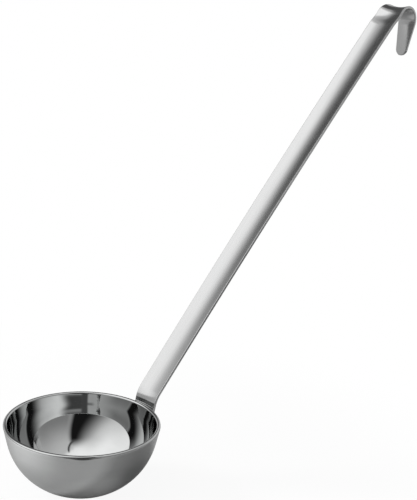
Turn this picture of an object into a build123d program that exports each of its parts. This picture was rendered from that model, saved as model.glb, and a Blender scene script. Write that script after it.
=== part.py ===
from build123d import *
from math import cos, degrees, radians, sin, sqrt
import os

# A soup ladle: a drawn bowl, and a dished strip handle whose foot is spot welded to the bowl's outside.
# Millimetres, +Z up. The origin is the lowest point of the bowl, the rim is level, and the handle leans to +X.

# Bowl: a shallow round bottom, a tighter flank and a straight leaning wall that thickens to a fully rounded rim
rim_diameter = 100.0
rim_thickness = 2.6
bowl_depth = 47.2
bowl_wall = 1.5
bottom_turn = 28.0
wall_lean = 13.0
inner_wall_lean = 8.0
wall_length = 10.6

# Strip that the handle is bent from
strip_thickness = 1.8
strip_edge_radius = 0.45
grip_dish_radius = 34.0

# Foot, which lies along the bowl's outside below the rim
foot_gap = 0.1
foot_width = 20.2
foot_length = 28.0
foot_end_radius = 11.0
fold_rise = 2.1

# Grip, slightly bowed towards the front
lower_bend_radius = 18.0
grip_lean = 40.0
grip_length = 323.1
grip_bow = 2.0
grip_width = 22.6

# Hook, which turns backwards and narrows to a rounded tip
hook_bend_radius = 10.3
hook_turn = 145.6
leg_length = 22.9
tip_width = 8.9

# Spot welds between the foot and the bowl
weld_diameter = 5.0
weld_clearance = 0.03
weld_depth_in_bowl = 0.6
weld_depth_in_foot = 0.7
upper_weld_drop = 10.0
upper_weld_spacing = 8.6
lower_weld_drop = 19.0
electrode_diameter = 6.2
electrode_mark_depth = 0.2

# Length by which every cutting tool runs past what it cuts, and steps in a stretch whose section changes
overrun = 1.0
bend_steps = 10


def outward(angle):
    # Direction square to the bowl where its profile has turned by this angle from the bottom
    return Vector(sin(radians(angle)), 0, -cos(radians(angle)))


def upward(angle):
    # Direction along the profile there, towards the rim
    return Vector(cos(radians(angle)), 0, sin(radians(angle)))


# Bowl profile worked out from the sizes above, in the plane Y = 0
rim_round = rim_thickness / 2
rim_centre = Vector(rim_diameter / 2 - rim_round, 0, bowl_depth - rim_round)
wall_turn = 90 - wall_lean
inner_wall_turn = 90 - inner_wall_lean
wall_top = rim_centre + outward(wall_turn) * rim_round
wall_foot = wall_top - upward(wall_turn) * wall_length
# The bottom and flank arcs meet at the bottom's turn and end at the wall's foot, which fixes both radii
bottom_run = sin(radians(bottom_turn))
bottom_climb = 1 - cos(radians(bottom_turn))
flank_run = sin(radians(wall_turn)) - bottom_run
flank_climb = cos(radians(bottom_turn)) - cos(radians(wall_turn))
cross = bottom_run * flank_climb - bottom_climb * flank_run
bottom_radius = (wall_foot.X * flank_climb - wall_foot.Z * flank_run) / cross
flank_radius = (wall_foot.Z * bottom_run - wall_foot.X * bottom_climb) / cross
bottom_centre = Vector(0, 0, bottom_radius)
flank_centre = wall_foot - outward(wall_turn) * flank_radius
# The inner wall touches the rim's round, which fixes the inner flank's radius
inner_bottom_radius = bottom_radius - bowl_wall
inner_flank_start = bottom_centre + outward(bottom_turn) * inner_bottom_radius
inner_reach = (rim_centre - inner_flank_start).dot(outward(inner_wall_turn)) - rim_round
inner_flank_radius = inner_reach / (1 - cos(radians(inner_wall_turn - bottom_turn)))
inner_flank_centre = inner_flank_start - outward(bottom_turn) * inner_flank_radius

# Strip sizes worked out from the sizes above
strip_half = strip_thickness / 2
foot_dish_radius = rim_diameter / 2 / cos(radians(wall_lean)) + foot_gap
foot_bend_radius = flank_radius + foot_gap + strip_half
seat_place = wall_foot + outward(wall_turn) * (foot_gap + strip_half)
upright_length = (bowl_depth + fold_rise - seat_place.Z) / cos(radians(wall_lean))
foot_angle = degrees((foot_length - upright_length) / foot_bend_radius)
bow_radius = grip_length**2 / (8 * grip_bow)
bow_angle = degrees(grip_length / bow_radius)
lower_bend_angle = grip_lean - bow_angle / 2 - wall_lean
hook_bend_length = radians(hook_turn) * hook_bend_radius
leg_taper = (grip_width - tip_width) / (hook_bend_length + leg_length)
leg_width = tip_width + leg_taper * leg_length
tip_radius = tip_width / (2 - leg_taper)


def bend(radius, angle):
    # Step along the strip, round an axis that lies in front of it, or behind it if the radius is negative
    return Pos(Y=radius) * Rot(X=angle) * Pos(Y=-radius)


# Stations along the strip's middle: x is across the strip, y is its front, z runs up to the hook
seat = Plane(origin=seat_place, x_dir=(0, 1, 0), z_dir=upward(wall_turn)).location
foot_end = seat * bend(foot_bend_radius, foot_angle)
fold_start = seat * Pos(Z=upright_length)
grip_start = fold_start * bend(-lower_bend_radius, lower_bend_angle)
hook_start = grip_start * bend(-bow_radius, bow_angle)
leg_start = hook_start * bend(-hook_bend_radius, hook_turn)
leg_end = leg_start * Pos(Z=leg_length)


def sag(half_width, radius):
    # How far an arc's ends stand above its middle
    return radius - sqrt(radius**2 - half_width**2)


def strip_section(width, dish_radius):
    # Cross-section of the strip: hollow in front, with eased edges
    half = width / 2
    front_edge = sag(half, dish_radius) + strip_half
    back_edge = sag(half, dish_radius + strip_thickness) - strip_half
    outline = [
        ThreePointArc((-half, front_edge), (0, strip_half), (half, front_edge)),
        Line((half, front_edge), (half, back_edge)),
        ThreePointArc((half, back_edge), (0, -strip_half), (-half, back_edge)),
        Line((-half, back_edge), (-half, front_edge)),
    ]
    section = make_face(outline)
    return fillet(section.vertices(), strip_edge_radius)


def even_bend(start, radius, angle, section):
    # Stretch of strip with one section, bent round an axis in front (+) or behind (-)
    axis = Axis((start * Pos(Y=radius)).position, (0, 1, 0))
    return revolve(start * section, axis, angle)


def changing_bend(start, radius, angle, first, last):
    # Bent stretch of strip whose width and dish radius change steadily from the first pair to the last
    sections = []
    for step in range(bend_steps + 1):
        share = step / bend_steps
        width = first[0] + (last[0] - first[0]) * share
        dish_radius = first[1] + (last[1] - first[1]) * share
        sections.append(start * bend(radius, angle * share) * strip_section(width, dish_radius))
    return loft(sections)


def end_waste(end, radius, width):
    # Corners that are trimmed off a strip whose rounded end just reaches the station
    frame = Rectangle(width + 2 * overrun, radius + 2 * overrun, align=(Align.CENTER, Align.MIN))
    corners = Plane.XZ * (frame - Circle(radius))
    reach = sag(width / 2, grip_dish_radius) + strip_thickness + overrun
    return end * Pos(Z=-radius) * extrude(corners, reach, both=True)


def foot_station(drop):
    # Station at a distance below the fold, on the upright stretch or further down the flank
    below_seat = drop - upright_length
    if below_seat < 0:
        return fold_start * Pos(Z=-drop)
    return seat * bend(foot_bend_radius, degrees(below_seat / foot_bend_radius))


def weld_places():
    # Station of each weld, turned round the bowl's axis where it sits to one side
    upper = foot_station(upper_weld_drop)
    aside = degrees(upper_weld_spacing / 2 / upper.position.X)
    return {
        "weld_left": Rot(Z=aside) * upper,
        "weld_right": Rot(Z=-aside) * upper,
        "weld_low": foot_station(lower_weld_drop),
    }


def cross_disc(place, back, front, diameter):
    # Disc square to the strip at a station, between two depths behind (-) and in front (+) of the strip's middle
    upright = (Align.CENTER, Align.CENTER, Align.MIN)
    return place * Pos(Y=back) * Rot(X=-90) * Cylinder(diameter / 2, front - back, align=upright)


def weld_disc(place, diameter):
    back = strip_half - weld_depth_in_foot
    front = strip_half + foot_gap + weld_depth_in_bowl
    return cross_disc(place, back, front, diameter)


def weld_nugget(place):
    # Disc of fused metal that bridges the gap and ends on the floors of both pockets
    return weld_disc(place, weld_diameter)


def weld_pocket(place):
    return weld_disc(place, weld_diameter + 2 * weld_clearance)


def profile_arc(centre, radius, start, end):
    # Arc of the profile between two turns from the bottom
    turns = (start, (start + end) / 2, end)
    return ThreePointArc(*[centre + outward(turn) * radius for turn in turns])


def bowl():
    # Half profile: up the outside from the bottom, over the full round of the rim, and down the inside
    inner_wall_foot = inner_flank_centre + outward(inner_wall_turn) * inner_flank_radius
    inner_wall_top = rim_centre - outward(inner_wall_turn) * rim_round
    lowest = Vector(0, 0, 0)
    floor = Vector(0, 0, bowl_wall)
    profile = [
        profile_arc(bottom_centre, bottom_radius, 0, bottom_turn),
        profile_arc(flank_centre, flank_radius, bottom_turn, wall_turn),
        Line(wall_foot, wall_top),
        ThreePointArc(wall_top, rim_centre + Vector(0, 0, rim_round), inner_wall_top),
        Line(inner_wall_top, inner_wall_foot),
        profile_arc(inner_flank_centre, inner_flank_radius, inner_wall_turn, bottom_turn),
        profile_arc(bottom_centre, inner_bottom_radius, bottom_turn, 0),
        Line(floor, lowest),
    ]
    cup = revolve(make_face(profile), Axis.Z)
    for place in weld_places().values():
        cup -= weld_pocket(place)
    return cup


def foot(section):
    # Lies along the bowl's outside, with a rounded lower end and the marks of the welding electrodes
    upright = extrude(seat * section, upright_length)
    blank_angle = foot_angle + degrees(overrun / foot_bend_radius)
    lower = even_bend(seat, foot_bend_radius, blank_angle, section)
    plate = upright + lower - end_waste(foot_end * Rot(Y=180), foot_end_radius, foot_width)
    mark_floor = electrode_mark_depth - strip_half
    for place in weld_places().values():
        plate -= weld_pocket(place)
        plate -= cross_disc(place, -strip_half - overrun, mark_floor, electrode_diameter)
    return plate


def hook():
    # Narrows all the way round the bend and down the leg, to a rounded tip
    wide = (grip_width, grip_dish_radius)
    narrow = (leg_width, grip_dish_radius)
    crown = changing_bend(hook_start, -hook_bend_radius, hook_turn, wide, narrow)
    leg_section = strip_section(leg_width, grip_dish_radius)
    blank_section = strip_section(tip_width - leg_taper * overrun, grip_dish_radius)
    leg = loft([leg_start * leg_section, leg_end * Pos(Z=overrun) * blank_section], ruled=True)
    leg -= end_waste(leg_end, tip_radius, leg_width)
    return crown + leg


def handle():
    foot_section = strip_section(foot_width, foot_dish_radius)
    lower_bend = even_bend(fold_start, -lower_bend_radius, lower_bend_angle, foot_section)
    narrow = (foot_width, foot_dish_radius)
    wide = (grip_width, grip_dish_radius)
    grip = changing_bend(grip_start, -bow_radius, bow_angle, narrow, wide)
    return foot(foot_section) + lower_bend + grip + hook()


os.makedirs("parts", exist_ok=True)
export_step(bowl(), "parts/bowl.step")
export_step(handle(), "parts/handle.step")
for name, place in weld_places().items():
    export_step(weld_nugget(place), f"parts/{name}.step")
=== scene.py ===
from math import asin, cos, pi, radians, sin, sqrt

import bmesh
import bpy
from mathutils import Matrix, Vector


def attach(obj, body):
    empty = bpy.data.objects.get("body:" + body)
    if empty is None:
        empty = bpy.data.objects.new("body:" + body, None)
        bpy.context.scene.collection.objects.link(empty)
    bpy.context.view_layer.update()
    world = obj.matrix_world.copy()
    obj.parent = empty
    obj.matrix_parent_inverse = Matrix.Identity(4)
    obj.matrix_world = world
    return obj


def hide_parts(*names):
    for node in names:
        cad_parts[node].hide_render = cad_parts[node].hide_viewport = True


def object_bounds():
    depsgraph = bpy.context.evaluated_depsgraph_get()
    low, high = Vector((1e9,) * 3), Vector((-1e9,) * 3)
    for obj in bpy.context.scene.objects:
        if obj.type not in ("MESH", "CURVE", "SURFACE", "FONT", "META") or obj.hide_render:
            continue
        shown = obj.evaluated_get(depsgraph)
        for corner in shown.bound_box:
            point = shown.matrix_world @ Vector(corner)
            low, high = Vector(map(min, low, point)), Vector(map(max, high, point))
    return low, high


# A soup ladle, in metres: a polished bowl, a satin strip handle, and the spot welds that hold them together

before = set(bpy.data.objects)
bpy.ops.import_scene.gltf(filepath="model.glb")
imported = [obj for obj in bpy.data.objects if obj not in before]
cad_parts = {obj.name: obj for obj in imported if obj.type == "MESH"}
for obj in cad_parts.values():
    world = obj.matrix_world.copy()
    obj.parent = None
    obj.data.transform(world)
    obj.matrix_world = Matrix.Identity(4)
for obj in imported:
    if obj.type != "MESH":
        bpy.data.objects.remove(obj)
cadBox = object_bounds()
print("frame loaded:", ", ".join(sorted(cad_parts)))

nearness = {
    "finishedPoints": 2e-6,  # points of a finished piece that become one
    "blankPoints": 1e-6,  # points of the flat blank that are at one place or level
    "cut": 1e-7,  # points that a cut takes as lying on it
    "stationDigits": 7,  # decimals to which points share a station along the strip
}


# Small helpers for meshes and node trees

def makePiece(bm, name, nodeName, material):
    bmesh.ops.remove_doubles(bm, verts=bm.verts, dist=nearness["finishedPoints"])
    bmesh.ops.recalc_face_normals(bm, faces=bm.faces)
    mesh = bpy.data.meshes.new(name)
    bm.to_mesh(mesh)
    bm.free()
    mesh.shade_smooth()
    mesh.materials.append(material)
    piece = bpy.data.objects.new(name, mesh)
    bpy.context.scene.collection.objects.link(piece)
    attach(piece, "root")
    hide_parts(nodeName)
    print(name, "has", len(mesh.polygons), "faces")


def addNode(tree, kind, inputs=None, **settings):
    made = tree.nodes.new(kind)
    for setting, value in settings.items():
        setattr(made, setting, value)
    for socket, value in (inputs or {}).items():
        if isinstance(value, bpy.types.NodeSocket):
            tree.links.new(value, made.inputs[socket])
        else:
            made.inputs[socket].default_value = value
    return made


def mathNode(tree, operation, *values):
    return addNode(tree, "ShaderNodeMath", dict(enumerate(values)), operation=operation).outputs[0]


def mixNode(tree, share, first, second, label=""):
    return addNode(tree, "ShaderNodeMix", {0: share, 2: first, 3: second}, label=label).outputs[0]


def splitNode(tree, vector):
    return addNode(tree, "ShaderNodeSeparateXYZ", {0: vector}).outputs


def rangeNode(tree, value, source, target=(0.0, 1.0), smooth=False):
    # Carries a value from one range of numbers to another
    inputs = {"Value": value, "From Min": source[0], "From Max": source[1],
              "To Min": target[0], "To Max": target[1]}
    kind = "SMOOTHSTEP" if smooth else "LINEAR"
    return addNode(tree, "ShaderNodeMapRange", inputs, interpolation_type=kind).outputs["Result"]


def softEdge(tree, value, edge, soft):
    # Rises from 0 to 1 across the edge, or falls from 1 to 0 where the softness is negative
    return rangeNode(tree, value, (edge - soft, edge + soft), smooth=True)


def startMaterial(name):
    material = bpy.data.materials.new(name)
    material.use_nodes = True
    tree = material.node_tree
    return material, tree, tree.nodes["Principled BSDF"]


def startGroup(name, inputs, outputs):
    group = bpy.data.node_groups.new(name, "ShaderNodeTree")
    for socket, kind in inputs.items():
        group.interface.new_socket(socket, in_out="INPUT", socket_type=kind)
    for socket in outputs:
        group.interface.new_socket(socket, in_out="OUTPUT", socket_type="NodeSocketFloat")
    return group, addNode(group, "NodeGroupInput").outputs, addNode(group, "NodeGroupOutput").inputs


# Finishes that more than one kind of steel shares

grainLook = {
    "changeAlong": 0.02,  # how fast the pattern changes along the lines, beside across them
    "lineDetail": 4.0,
    "lineRoughness": 0.7,
    "bandsPerLine": 0.16,
    "bandDetail": 2.0,
}
handlingLook = {
    "cloudsPerMetre": 45.0,
    "detail": 3.0,
    "distortion": 0.6,
    "cleanToMarked": (0.42, 0.68),  # noise at which the steel is clean, and fully marked
}


def makeGrainGroup():
    # Fine polishing lines: they run along Z of the place that is given, and change along X
    group, given, result = startGroup(
        "polishingGrain", {"Place": "NodeSocketVector", "Lines Per Metre": "NodeSocketFloat"},
        ("Lines", "Bands"))
    stretch = (1.0, 1.0, grainLook["changeAlong"])
    drawnOut = addNode(group, "ShaderNodeVectorMath", {0: given["Place"], 1: stretch},
                       operation="MULTIPLY").outputs[0]
    fine = addNode(group, "ShaderNodeTexNoise", {
        "Vector": drawnOut, "Scale": given["Lines Per Metre"],
        "Detail": grainLook["lineDetail"], "Roughness": grainLook["lineRoughness"]})
    bandScale = mathNode(group, "MULTIPLY", given["Lines Per Metre"], grainLook["bandsPerLine"])
    broad = addNode(group, "ShaderNodeTexNoise", {
        "Vector": drawnOut, "Scale": bandScale, "Detail": grainLook["bandDetail"]})
    group.links.new(fine.outputs["Fac"], result["Lines"])
    group.links.new(broad.outputs["Fac"], result["Bands"])
    return group


def makeHandlingGroup():
    # Faint cloudy marks that wiping leaves on steel
    group, given, result = startGroup("handlingMarks", {"Place": "NodeSocketVector"}, ("Marks",))
    cloud = addNode(group, "ShaderNodeTexNoise", {
        "Vector": given["Place"], "Scale": handlingLook["cloudsPerMetre"],
        "Detail": handlingLook["detail"], "Distortion": handlingLook["distortion"]})
    marks = rangeNode(group, cloud.outputs["Fac"], handlingLook["cleanToMarked"], smooth=True)
    group.links.new(marks, result["Marks"])
    return group


grainGroup = makeGrainGroup()
handlingGroup = makeHandlingGroup()


def grainNode(tree, place, linesPerMetre):
    inputs = {"Place": place, "Lines Per Metre": linesPerMetre}
    return addNode(tree, "ShaderNodeGroup", inputs, node_tree=grainGroup).outputs


def marksNode(tree, place):
    return addNode(tree, "ShaderNodeGroup", {"Place": place}, node_tree=handlingGroup).outputs["Marks"]


def colourSteel(tree, steel, colour, shade, roughness):
    # Full metal, with a shade and a roughness that change over the surface
    shaded = addNode(tree, "ShaderNodeVectorMath", {0: colour, 3: shade}, operation="SCALE").outputs[0]
    steel.inputs["Metallic"].default_value = 1.0
    tree.links.new(shaded, steel.inputs["Base Color"])
    tree.links.new(roughness, steel.inputs["Roughness"])


def bumpSteel(tree, steel, height, depth):
    bump = addNode(tree, "ShaderNodeBump", {"Height": height, "Strength": 1.0, "Distance": depth})
    tree.links.new(bump.outputs["Normal"], steel.inputs["Normal"])


# Bowl: a drawn cup with a shallow round bottom, a tighter flank and a straight wall that thickens to the rim

bowl = {
    "rimDiameter": 0.100,
    "rimThickness": 0.0026,
    "depth": 0.0472,
    "wall": 0.0015,
    "bottomTurn": radians(28),
    "wallLean": radians(13),
    "innerWallLean": radians(8),
    "wallLength": 0.0106,
    "stepsOverBottom": 30,
    "stepsUpFlank": 40,
    "stepsUpWall": 10,
    "stepsOverRim": 18,
    "stepsRound": 288,
    "steel": (0.682, 0.69, 0.688),
    "wearRange": (0.2, 1.6),  # marks and bands added up, from the clean steel to the most worn
    "shade": (1.0, 0.95),
    "insideRoughness": (0.02, 0.04),  # clean, and under the marks of wiping
    "lineRange": (0.2, 0.8),
    "outsideRoughness": (0.065, 0.115),
    "polishStart": 1.3,  # rim thicknesses outside the rim's top at which the mirror polish starts
    "polishingLinesPerMetre": 2600.0,
    "lineDrift": (0.001, 0.05),  # how much the lines change with the angle round the bowl
    "waviness": 0.00003,
    "wavesPerMetre": 55.0,
    "waveDetail": 1.0,
}


def outward(turn):
    # Direction square to the bowl where its profile has turned by this angle from the bottom
    return Vector((sin(turn), 0, -cos(turn)))


def upward(turn):
    # Direction along the profile there, towards the rim
    return Vector((cos(turn), 0, sin(turn)))


rimRound = bowl["rimThickness"] / 2
rimCentre = Vector((bowl["rimDiameter"] / 2 - rimRound, 0, bowl["depth"] - rimRound))
wallTurn = pi / 2 - bowl["wallLean"]
innerWallTurn = pi / 2 - bowl["innerWallLean"]
wallTop = rimCentre + outward(wallTurn) * rimRound
wallFoot = wallTop - upward(wallTurn) * bowl["wallLength"]
# The bottom and flank arcs meet at the bottom's turn and end at the wall's foot, which fixes both radii
bottomRun = sin(bowl["bottomTurn"])
bottomClimb = 1 - cos(bowl["bottomTurn"])
flankRun = sin(wallTurn) - bottomRun
flankClimb = cos(bowl["bottomTurn"]) - cos(wallTurn)
cross = bottomRun * flankClimb - bottomClimb * flankRun
bottomRadius = (wallFoot.x * flankClimb - wallFoot.z * flankRun) / cross
flankRadius = (wallFoot.z * bottomRun - wallFoot.x * bottomClimb) / cross
bottomCentre = Vector((0, 0, bottomRadius))
flankCentre = wallFoot - outward(wallTurn) * flankRadius
# The inner wall touches the rim's round, which fixes the inner flank's radius
innerFlankStart = bottomCentre + outward(bowl["bottomTurn"]) * (bottomRadius - bowl["wall"])
innerReach = (rimCentre - innerFlankStart).dot(outward(innerWallTurn)) - rimRound
innerFlankRadius = innerReach / (1 - cos(innerWallTurn - bowl["bottomTurn"]))
innerFlankCentre = innerFlankStart - outward(bowl["bottomTurn"]) * innerFlankRadius
innerWallFoot = innerFlankCentre + outward(innerWallTurn) * innerFlankRadius


def makeBowlSteel():
    material, tree, steel = startMaterial("polishedBowlSteel")
    place = addNode(tree, "ShaderNodeTexCoord").outputs["Object"]
    profile = addNode(tree, "ShaderNodeAttribute", attribute_name="bowlProfile").outputs["Vector"]
    along, inside, _ = splitNode(tree, profile)
    # The polishing lines run round the bowl: they change along the profile, and slowly with the angle
    axes = splitNode(tree, place)
    level = addNode(tree, "ShaderNodeCombineXYZ", {0: axes[0], 1: axes[1]}).outputs[0]
    facing = addNode(tree, "ShaderNodeVectorMath", {0: level}, operation="NORMALIZE").outputs[0]
    turned = splitNode(tree, facing)
    aroundBowl = addNode(tree, "ShaderNodeCombineXYZ", {
        0: along,
        1: mathNode(tree, "MULTIPLY", turned[0], bowl["lineDrift"][0]),
        2: mathNode(tree, "MULTIPLY", turned[1], bowl["lineDrift"][1])}).outputs[0]
    grain = grainNode(tree, aroundBowl, bowl["polishingLinesPerMetre"])
    marks = marksNode(tree, place)
    outsideRoughness = rangeNode(tree, grain["Lines"], bowl["lineRange"], bowl["outsideRoughness"])
    insideRoughness = rangeNode(tree, marks, (0.0, 1.0), bowl["insideRoughness"])
    roughness = mixNode(tree, inside, outsideRoughness, insideRoughness)
    shade = rangeNode(tree, mathNode(tree, "ADD", marks, grain["Bands"]), bowl["wearRange"], bowl["shade"])
    colourSteel(tree, steel, bowl["steel"], shade, roughness)
    waves = addNode(tree, "ShaderNodeTexNoise", {
        "Vector": place, "Scale": bowl["wavesPerMetre"], "Detail": bowl["waveDetail"]})
    bumpSteel(tree, steel, waves.outputs["Fac"], bowl["waviness"])
    return material


def bendProfile(bm, last, centre, angle, steps):
    # Carries the profile on round a centre: positive angles climb the outside and go over the rim
    return bmesh.ops.spin(bm, geom=last, cent=centre, axis=(0, -1, 0), angle=angle, steps=steps)["geom_last"]


def runProfile(bm, last, goal, steps):
    # Carries it straight on to a point
    step = (goal - last[0].co) / steps
    for _ in range(steps):
        last = bmesh.ops.extrude_vert_indiv(bm, verts=last)["verts"]
        bmesh.ops.translate(bm, verts=last, vec=step)
    return last


def markProfile(bm):
    # Each point remembers its distance along the profile, and how far it belongs to the mirror polish,
    # from 0 on the outside to 1 over the rim's top and inside
    mark = bm.verts.layers.float_vector.new("bowlProfile")
    along = 0.0
    before = Vector((0, 0, 0))
    for vert in bm.verts:
        along += (vert.co - before).length
        before = vert.co
        vert[mark] = (along, 0, 0)
    rimTop = along / 2
    for vert in bm.verts:
        inside = (vert[mark].x - rimTop) / bowl["rimThickness"] + bowl["polishStart"]
        vert[mark] = (vert[mark].x, min(max(inside, 0), 1), 0)


def makeBowl():
    bm = bmesh.new()
    last = [bm.verts.new((0, 0, 0))]
    flankAngle = wallTurn - bowl["bottomTurn"]
    innerFlankAngle = innerWallTurn - bowl["bottomTurn"]
    last = bendProfile(bm, last, bottomCentre, bowl["bottomTurn"], bowl["stepsOverBottom"])
    last = bendProfile(bm, last, flankCentre, flankAngle, bowl["stepsUpFlank"])
    last = runProfile(bm, last, wallTop, bowl["stepsUpWall"])
    last = bendProfile(bm, last, rimCentre, pi + innerWallTurn - wallTurn, bowl["stepsOverRim"])
    last = runProfile(bm, last, innerWallFoot, bowl["stepsUpWall"])
    last = bendProfile(bm, last, innerFlankCentre, -innerFlankAngle, bowl["stepsUpFlank"])
    bendProfile(bm, last, bottomCentre, -bowl["bottomTurn"], bowl["stepsOverBottom"])
    markProfile(bm)
    bmesh.ops.spin(bm, geom=bm.verts[:] + bm.edges[:], cent=bottomCentre, axis=(0, 0, 1), angle=2 * pi,
                   steps=bowl["stepsRound"], use_merge=True)
    makePiece(bm, "polished_bowl", "bowl", makeBowlSteel())


makeBowl()


# Handle: a flat blank with eased edges, pressed to its dish and bent along the foot, grip and hook

handle = {
    "thickness": 0.0018,
    "edgeRadius": 0.00045,
    "edgeSteps": 4,
    "footGap": 0.0001,
    "footWidth": 0.0202,
    "footLength": 0.0280,
    "footEndRadius": 0.0110,
    "foldRise": 0.0021,
    "lowerBendRadius": 0.0180,
    "gripLean": radians(40),
    "gripLength": 0.3231,
    "gripBow": 0.0020,
    "gripWidth": 0.0226,
    "gripDishRadius": 0.0340,
    "dipDepth": 0.0008,
    "dipBeforeHook": 0.0036,  # from the dip's lowest place to the start of the hook's bend
    "dipFall": 0.0086,
    "dipRise": 0.0100,
    "hookBendRadius": 0.0103,
    "hookTurn": radians(145.6),
    "legLength": 0.0229,
    "tipWidth": 0.0089,
    "endSteps": 24,  # along the round of the foot's end, and of half the tip
    "columns": 40,
    "broadFace": 0.99,  # how square to the strip's thickness its front and back are
    "endFace": 0.01,  # length under which a face has no direction across it
    "steel": (0.678, 0.68, 0.68),
    "toneRange": (0.6, 1.4),  # lines and bands added up, from the lightest steel to the darkest
    "shade": (1.03, 0.97),
    "markShare": 0.25,  # how much the marks of wiping count beside the grain
    "grainRange": (0.2, 0.9),
    "roughness": (0.115, 0.165),
    "brushing": 0.8,
    "grainLinesPerMetre": 5200.0,
    "grainDepth": 0.0000008,
}
electrodeMarks = {
    "depth": 0.0002,
    "radius": 0.0031,
    "ease": 0.0005,
    "spots": [(0.0100, 0.0043), (0.0100, -0.0043), (0.0190, 0.0)],  # below the fold, and sideways
}
stripHalf = handle["thickness"] / 2
footDishRadius = bowl["rimDiameter"] / 2 / cos(bowl["wallLean"]) + handle["footGap"]
footBendRadius = flankRadius + handle["footGap"] + stripHalf
seatPlace = wallFoot + outward(wallTurn) * (handle["footGap"] + stripHalf)
uprightLength = (bowl["depth"] + handle["foldRise"] - seatPlace.z) / cos(bowl["wallLean"])
bowRadius = handle["gripLength"]**2 / (8 * handle["gripBow"])
bowAngle = handle["gripLength"] / bowRadius
lowerBendAngle = handle["gripLean"] - bowAngle / 2 - bowl["wallLean"]
hookBendLength = handle["hookTurn"] * handle["hookBendRadius"]
legTaper = (handle["gripWidth"] - handle["tipWidth"]) / (hookBendLength + handle["legLength"])
tipRadius = handle["tipWidth"] / (2 - legTaper)

# Distances along the strip, from the foot's end to the hook's tip
footEnd = 0.0
seatAt = handle["footLength"] - uprightLength
foldAt = handle["footLength"]
gripStart = foldAt + lowerBendAngle * handle["lowerBendRadius"]
hookStart = gripStart + handle["gripLength"]
dipStart = hookStart - handle["dipBeforeHook"] - handle["dipFall"]
legStart = hookStart + hookBendLength
stripEnd = legStart + handle["legLength"]
# Stretches of the strip, and the rows of faces in each
rowCounts = [
    (footEnd, seatAt, 34), (seatAt, foldAt, 34), (foldAt, gripStart, 22), (gripStart, dipStart, 115),
    (dipStart, hookStart, 26), (hookStart, legStart, 60), (legStart, stripEnd, 46),
]


def bend(radius, angle):
    # Step along the strip, round an axis that lies in front of it, or behind it if the radius is negative
    toAxis = Matrix.Translation((0, radius, 0))
    backAgain = Matrix.Translation((0, -radius, 0))
    return toAxis @ Matrix.Rotation(angle, 4, "X") @ backAgain


def station(along):
    # Place on the strip's middle: x is across the strip, y is its front, z runs up to the hook
    acrossFrontUp = Matrix((Vector((0, 1, 0)), -outward(wallTurn), upward(wallTurn))).transposed()
    seat = Matrix.Translation(seatPlace) @ acrossFrontUp.to_4x4()
    if along <= seatAt:
        return seat @ bend(footBendRadius, (seatAt - along) / footBendRadius)
    place = seat @ Matrix.Translation((0, 0, min(along, foldAt) - seatAt))
    stretches = [(foldAt, gripStart, handle["lowerBendRadius"]), (gripStart, hookStart, bowRadius),
                 (hookStart, legStart, handle["hookBendRadius"])]
    for start, end, radius in stretches:
        if along <= start:
            return place
        place = place @ bend(-radius, (min(along, end) - start) / radius)
    return place @ Matrix.Translation((0, 0, max(along - legStart, 0)))


def halfWidth(along):
    if along <= gripStart:
        return handle["footWidth"] / 2
    if along <= hookStart:
        share = (along - gripStart) / handle["gripLength"]
        return (handle["footWidth"] + (handle["gripWidth"] - handle["footWidth"]) * share) / 2
    return (handle["gripWidth"] - legTaper * (along - hookStart)) / 2


def dishRadius(along):
    share = min(max((along - gripStart) / handle["gripLength"], 0), 1)
    return footDishRadius + (handle["gripDishRadius"] - footDishRadius) * share


def dip(along):
    # How far the strip sinks towards its back in the shallow dip that the bending tool left before the hook
    lowest = hookStart - handle["dipBeforeHook"]
    length = handle["dipFall"] if along < lowest else handle["dipRise"]
    share = min(abs(along - lowest) / length, 1)
    return handle["dipDepth"] * (1 + cos(pi * share)) / 2


def electrodeMark(across, along):
    # Depth of the round marks that the welding electrodes pressed into the foot's back
    depth = 0.0
    for drop, aside in electrodeMarks["spots"]:
        reach = sqrt((foldAt - along - drop)**2 + (across - aside)**2)
        share = (electrodeMarks["radius"] - reach) / electrodeMarks["ease"] + 0.5
        share = min(max(share, 0), 1)
        depth += electrodeMarks["depth"] * share * share * (3 - 2 * share)
    return depth


def cutBlank(bm):
    # Outline of one half from the foot's round end to the tip, then its mirror image
    footCentre = Vector((0, 0, handle["footEndRadius"]))
    footTurn = asin(handle["footWidth"] / 2 / handle["footEndRadius"])
    tipStart = stripEnd - tipRadius
    first = bm.verts.new((0, 0, footEnd))
    arc = bmesh.ops.spin(bm, geom=[first], cent=footCentre, axis=(0, -1, 0), angle=footTurn,
                         steps=handle["endSteps"])
    corner = arc["geom_last"][0]
    for along in (gripStart, hookStart, tipStart):
        nextVert = bm.verts.new((halfWidth(along), 0, along))
        bm.edges.new((corner, nextVert))
        corner = nextVert
    bmesh.ops.spin(bm, geom=[corner], cent=(0, 0, tipStart), axis=(0, -1, 0), angle=pi / 2,
                   steps=handle["endSteps"])
    bmesh.ops.mirror(bm, geom=bm.verts[:] + bm.edges[:], axis="X", merge_dist=nearness["blankPoints"])
    bmesh.ops.remove_doubles(bm, verts=bm.verts, dist=nearness["blankPoints"])
    # Its thickness, and its eased edges
    face = bmesh.ops.contextual_create(bm, geom=bm.edges[:])["faces"]
    bmesh.ops.translate(bm, verts=bm.verts, vec=(0, -stripHalf, 0))
    raised = bmesh.ops.extrude_face_region(bm, geom=face, use_keep_orig=True)["geom"]
    top = [item for item in raised if isinstance(item, bmesh.types.BMVert)]
    bmesh.ops.translate(bm, verts=top, vec=(0, handle["thickness"], 0))
    bmesh.ops.recalc_face_normals(bm, faces=bm.faces)
    rims = [edge for edge in bm.edges
            if abs(edge.verts[0].co.y - edge.verts[1].co.y) < nearness["blankPoints"]]
    bmesh.ops.bevel(bm, geom=rims, offset=handle["edgeRadius"], offset_type="OFFSET", affect="EDGES",
                    segments=handle["edgeSteps"], profile=0.5, material=-1, clamp_overlap=True)


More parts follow.
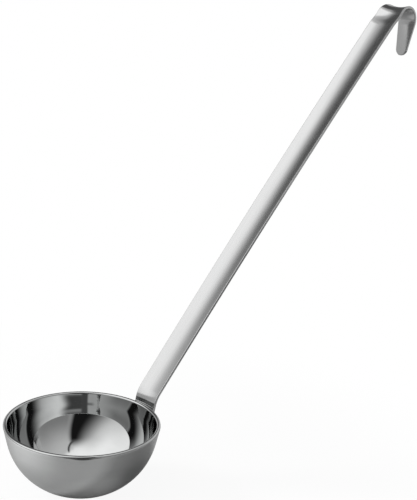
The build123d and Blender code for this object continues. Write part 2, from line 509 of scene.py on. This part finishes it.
def cutColumns(bm, start, end):
    # Lines along the strip that keep their share of its width
    for column in range(1, handle["columns"]):
        share = 2 * column / handle["columns"] - 1
        low = Vector((share * halfWidth(start), 0, start))
        high = Vector((share * halfWidth(end), 0, end))
        run = high - low
        faces = [face for face in bm.faces if start < face.calc_center_median().z < end
                 and abs(face.normal.y) > handle["broadFace"]]
        near = set(faces)
        for face in faces:
            near.update(face.edges)
            near.update(face.verts)
        bmesh.ops.bisect_plane(bm, geom=list(near), dist=nearness["cut"], plane_co=low,
                               plane_no=(run.z, 0, -run.x))


def cutRows(bm, places):
    for along in places:
        bmesh.ops.bisect_plane(bm, geom=bm.verts[:] + bm.edges[:] + bm.faces[:], dist=nearness["cut"],
                               plane_co=(0, 0, along), plane_no=(0, 0, 1))


def layBrushing(bm):
    # UV map of the flat blank, on every face with U across the brushing and V along it
    brushing = bm.loops.layers.uv.new("brushing")
    bm.normal_update()
    for face in bm.faces:
        across = Vector((face.normal.y, -face.normal.x, 0))
        if across.length < handle["endFace"]:
            across = Vector((1, 0, 0))
        for loop in face.loops:
            loop[brushing].uv = (loop.vert.co.dot(across), loop.vert.co.z)


def shapeStrip(bm):
    # Press the dish and the electrode marks, then bend the strip; each point remembers its place on the blank
    flatPlace = bm.verts.layers.float_vector.new("stripPlace")
    stations = {}
    for vert in bm.verts:
        across, height, along = vert.co
        vert[flatPlace] = vert.co
        if height < 0:
            height += electrodeMark(across, along)
        middle = dishRadius(along) + stripHalf
        pressed = middle - sqrt((middle - height)**2 - across**2)
        key = round(along, nearness["stationDigits"])
        if key not in stations:
            stations[key] = station(along)
        vert.co = stations[key] @ Vector((across, pressed - dip(along), 0))


def makeHandleSteel():
    material, tree, steel = startMaterial("satinHandleSteel")
    place = addNode(tree, "ShaderNodeAttribute", attribute_name="stripPlace").outputs["Vector"]
    grain = grainNode(tree, place, handle["grainLinesPerMetre"])
    marks = mathNode(tree, "MULTIPLY", marksNode(tree, place), handle["markShare"])
    mixed = mathNode(tree, "ADD", grain["Lines"], marks)
    roughness = rangeNode(tree, mixed, handle["grainRange"], handle["roughness"])
    tone = mathNode(tree, "ADD", grain["Lines"], grain["Bands"])
    shade = rangeNode(tree, tone, handle["toneRange"], handle["shade"])
    colourSteel(tree, steel, handle["steel"], shade, roughness)
    bumpSteel(tree, steel, grain["Lines"], handle["grainDepth"])
    # The highlights spread across the brushing
    across = addNode(tree, "ShaderNodeTangent", direction_type="UV_MAP", uv_map="brushing")
    steel.inputs["Anisotropic"].default_value = handle["brushing"]
    tree.links.new(across.outputs[0], steel.inputs["Tangent"])
    return material


def makeHandle():
    bm = bmesh.new()
    cutBlank(bm)
    cutRows(bm, [start for start, _, _ in rowCounts[1:]])
    for start, end, _ in rowCounts:
        cutColumns(bm, start, end)
    for start, end, rows in rowCounts:
        cutRows(bm, [start + (end - start) * row / rows for row in range(1, rows)])
    layBrushing(bm)
    shapeStrip(bm)
    makePiece(bm, "satin_handle", "handle", makeHandleSteel())


makeHandle()


# Spot welds: the fused discs between bowl and foot keep their CAD shape

welds = {
    "names": ("weld_left", "weld_right", "weld_low"),
    "steel": (0.5, 0.5, 0.5),
    "shade": (1.0, 0.75),  # clean, and marked
    "roughness": (0.4, 0.55),
}


def makeWeldSteel():
    material, tree, steel = startMaterial("fusedWeldSteel")
    marks = marksNode(tree, addNode(tree, "ShaderNodeTexCoord").outputs["Object"])
    shade = rangeNode(tree, marks, (0.0, 1.0), welds["shade"])
    roughness = rangeNode(tree, marks, (0.0, 1.0), welds["roughness"])
    colourSteel(tree, steel, welds["steel"], shade, roughness)
    return material


def finishWelds():
    weldSteel = makeWeldSteel()
    for name in welds["names"]:
        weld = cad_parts[name]
        weld.data.materials.clear()
        weld.data.materials.append(weldSteel)
    print("welds have their steel")


finishWelds()


# Studio: a pale floor, a bright room with grey and dark flats that the steel mirrors, and one soft lamp

studio = {
    "floorRadius": 0.8,
    "floorSegments": 96,
    "floorGap": 0.0001,
    "floorWhite": 0.95,
    "floorTone": 0.25,
    "floorWhiteShare": 0.92,
    "floorFade": (0.16, 0.32),  # distances between which the last of the shadow fades
    "roomLevel": 1.19,
    "keyAzimuth": radians(128),
    "keyHeight": radians(38),
    "keyDistance": 1.1,
    "keySize": 0.30,
    "keyPower": 7.0,
}
# Patches of painted light and shade in the floor's tone as the steel sees it: the middle, reach and soft edge
# in metres, and the tone
floorPatches = [
    {"name": "near floor", "place": (0.0, 0.0), "reach": 0.22, "soft": 0.060, "tone": 0.46},
    # painted light: a bright pool in the floor's tone where the key lamp falls
    {"name": "painted light on the lit side", "place": (-0.15, 0.05), "reach": 0.085, "soft": 0.050, "tone": 1.00},
    # painted light under the bowl, lifting the floor's tone where the bowl shades it
    {"name": "painted light under the bowl", "place": (0.003, -0.026), "reach": 0.024, "soft": 0.024, "tone": 0.85},
    # painted shadow of the bowl in the floor's tone, on top of the key lamp's real shadow
    {"name": "painted shadow of the bowl", "place": (0.035, -0.045), "reach": 0.025, "soft": 0.020, "tone": 0.32},
    # painted shade in the floor's tone towards the dark camera side
    {"name": "camera side", "place": (-0.0768, -0.1182), "reach": 0.0545, "soft": 0.004, "tone": 0.05},
]
# Each flat, in degrees: where its middle stands, half its width and height, how far it leans for each
# degree up, how soft its left, right and level edges are, and its grey level. Later ones stand in front
flats = [
    {"name": "right wall", "azimuth": -65, "height": -12, "halfWidth": 89, "halfHeight": 76,
     "lean": -0.2, "softLeft": 30, "softRight": 36, "softEnds": 19, "level": 0.61},
    {"name": "far wall", "azimuth": 13, "height": 10, "halfWidth": 66, "halfHeight": 78,
     "lean": 0.9, "softLeft": 7, "softRight": 9, "softEnds": 23, "level": 0.60},
    {"name": "back curtain", "azimuth": 80, "height": 40, "halfWidth": 32, "halfHeight": 42,
     "lean": -0.3, "softLeft": 14, "softRight": 20, "softEnds": 10, "level": 0.42},
    {"name": "fold of the back curtain", "azimuth": 78, "height": 35, "halfWidth": 30, "halfHeight": 13,
     "lean": -0.3, "softLeft": 14, "softRight": 18, "softEnds": 6, "level": 0.09},
    {"name": "top of the fold", "azimuth": 54, "height": 66, "halfWidth": 34, "halfHeight": 26,
     "lean": 0.0, "softLeft": 8, "softRight": 12, "softEnds": 4, "level": 0.09},
    {"name": "post beside the curtain", "azimuth": 50, "height": 12, "halfWidth": 10, "halfHeight": 32,
     "lean": 0.0, "softLeft": 4, "softRight": 5, "softEnds": 4, "level": 0.10},
    {"name": "back wall foot", "azimuth": 140, "height": -20, "halfWidth": 32, "halfHeight": 28.5,
     "lean": 0.0, "softLeft": 10, "softRight": 20, "softEnds": 2, "level": 0.45},
    {"name": "left wall foot", "azimuth": -167, "height": -10, "halfWidth": 39, "halfHeight": 28,
     "lean": 0.0, "softLeft": 46, "softRight": 10, "softEnds": 45, "level": 0.30},
    {"name": "camera side", "azimuth": -115, "height": 20, "halfWidth": 36, "halfHeight": 43,
     "lean": 0.6, "softLeft": 24, "softRight": 8, "softEnds": 11, "level": 0.01},
    {"name": "right wall panel", "azimuth": -66, "height": 10, "halfWidth": 41, "halfHeight": 60,
     "lean": 0.3, "softLeft": 7, "softRight": 34, "softEnds": 5, "level": 0.66},
    {"name": "right wall foot", "azimuth": -66, "height": 10, "halfWidth": 41, "halfHeight": 30,
     "lean": 0.3, "softLeft": 7, "softRight": 34, "softEnds": 26, "level": 0.26},
    {"name": "camera side top", "azimuth": -80, "height": 64.5, "halfWidth": 5, "halfHeight": 7.5,
     "lean": 2.6, "softLeft": 6, "softRight": 4, "softEnds": 2.5, "level": 0.06},
]


def flatMask(tree, azimuth, height, flat):
    # Where the flat stands, with soft edges, for a direction in degrees
    above = mathNode(tree, "SUBTRACT", height, flat["height"])
    aside = mathNode(tree, "SUBTRACT", azimuth, flat["azimuth"])
    leaned = mathNode(tree, "SUBTRACT", aside, mathNode(tree, "MULTIPLY", above, flat["lean"]))
    turned = mathNode(tree, "WRAP", leaned, 180.0, -180.0)
    left = softEdge(tree, turned, -flat["halfWidth"], flat["softLeft"])
    right = softEdge(tree, turned, flat["halfWidth"], -flat["softRight"])
    ends = softEdge(tree, mathNode(tree, "ABSOLUTE", above), flat["halfHeight"], -flat["softEnds"])
    return mathNode(tree, "MULTIPLY", mathNode(tree, "MULTIPLY", left, right), ends)


def makeSurroundings():
    world = bpy.data.worlds.new("studioSurroundings")
    bpy.context.scene.world = world
    world.use_nodes = True
    tree = world.node_tree
    tree.nodes.clear()
    axes = splitNode(tree, addNode(tree, "ShaderNodeTexCoord").outputs["Generated"])
    azimuth = mathNode(tree, "DEGREES", mathNode(tree, "ARCTAN2", axes[1], axes[0]))
    height = mathNode(tree, "DEGREES", mathNode(tree, "ARCSINE", axes[2]))
    level = studio["roomLevel"]
    for flat in flats:
        level = mixNode(tree, flatMask(tree, azimuth, height, flat), level, flat["level"], flat["name"])
    seenByCamera = addNode(tree, "ShaderNodeLightPath").outputs["Is Camera Ray"]
    strength = mixNode(tree, seenByCamera, level, 1.0)
    background = addNode(tree, "ShaderNodeBackground", {"Color": (1, 1, 1, 1), "Strength": strength})
    output = addNode(tree, "ShaderNodeOutputWorld")
    tree.links.new(background.outputs[0], output.inputs["Surface"])


def makeFloorMaterial():
    # The camera sees it nearly white, with a soft shadow near the ladle and none further off
    # The steel sees the tones of its patches: painted light and shade, over the floor's own lighting from the
    # lamp and the room
    material = bpy.data.materials.new("paleFloor")
    material.use_nodes = True
    tree = material.node_tree
    tree.nodes.clear()
    place = addNode(tree, "ShaderNodeTexCoord").outputs["Object"]
    away = addNode(tree, "ShaderNodeVectorMath", {0: place}, operation="LENGTH").outputs["Value"]
    whiteShare = rangeNode(tree, away, studio["floorFade"], (studio["floorWhiteShare"], 1.0), smooth=True)
    seenByCamera = addNode(tree, "ShaderNodeLightPath").outputs["Is Camera Ray"]
    tone = studio["floorTone"]
    for patch in floorPatches:
        reach = addNode(tree, "ShaderNodeVectorMath", {0: place, 1: (*patch["place"], 0)},
                        operation="DISTANCE").outputs["Value"]
        mask = softEdge(tree, reach, patch["reach"], -patch["soft"])
        # Each patch mixes its painted light or shade into the tone that the steel sees
        tone = mixNode(tree, mask, tone, patch["tone"], patch["name"])
    shade = mixNode(tree, seenByCamera, tone, studio["floorWhite"])
    matt = addNode(tree, "ShaderNodeBsdfDiffuse", {"Color": shade})
    white = addNode(tree, "ShaderNodeEmission", {"Color": (1, 1, 1, 1), "Strength": 1.0})
    share = mathNode(tree, "MULTIPLY", seenByCamera, whiteShare)
    mix = addNode(tree, "ShaderNodeMixShader", {0: share, 1: matt.outputs[0], 2: white.outputs[0]})
    output = addNode(tree, "ShaderNodeOutputMaterial")
    tree.links.new(mix.outputs[0], output.inputs["Surface"])
    return material


def makeFloor():
    bm = bmesh.new()
    bmesh.ops.create_circle(bm, cap_ends=True, radius=studio["floorRadius"], segments=studio["floorSegments"])
    bmesh.ops.translate(bm, verts=bm.verts, vec=(0, 0, cadBox[0][2] - studio["floorGap"]))
    mesh = bpy.data.meshes.new("pale_floor")
    bm.to_mesh(mesh)
    bm.free()
    mesh.materials.append(makeFloorMaterial())
    floor = bpy.data.objects.new("pale_floor", mesh)
    bpy.context.scene.collection.objects.link(floor)


def makeKeyLamp():
    lamp = bpy.data.lights.new("key_lamp", "AREA")
    lamp.shape = "SQUARE"
    lamp.size = studio["keySize"]
    lamp.energy = studio["keyPower"]
    towards = Vector((cos(studio["keyHeight"]) * cos(studio["keyAzimuth"]),
                      cos(studio["keyHeight"]) * sin(studio["keyAzimuth"]), sin(studio["keyHeight"])))
    holder = bpy.data.objects.new("key_lamp", lamp)
    holder.location = towards * studio["keyDistance"]
    holder.rotation_euler = towards.to_track_quat("Z", "Y").to_euler()
    holder.visible_glossy = False
    bpy.context.scene.collection.objects.link(holder)


makeSurroundings()
makeFloor()
makeKeyLamp()
print("studio set")


# Camera, at the photograph's place

view = {
    "place": (-0.36989, -0.53355, 0.34416),
    "aim": (0.10465, 0.00656, 0.14496),
    "roll": radians(3.208),
    "lens": 79.0,
    "sensorWidth": 36.0,
}


def makeCamera():
    camera = bpy.data.cameras.new("photo_camera")
    camera.lens = view["lens"]
    camera.sensor_width = view["sensorWidth"]
    holder = bpy.data.objects.new("photo_camera", camera)
    place = Vector(view["place"])
    turn = (Vector(view["aim"]) - place).to_track_quat("-Z", "Y").to_matrix().to_4x4()
    holder.matrix_world = Matrix.Translation(place) @ turn @ Matrix.Rotation(view["roll"], 4, "Z")
    bpy.context.scene.collection.objects.link(holder)
    bpy.context.scene.camera = holder


makeCamera()
bpy.context.scene.view_settings.view_transform = "Standard"
print("camera placed")
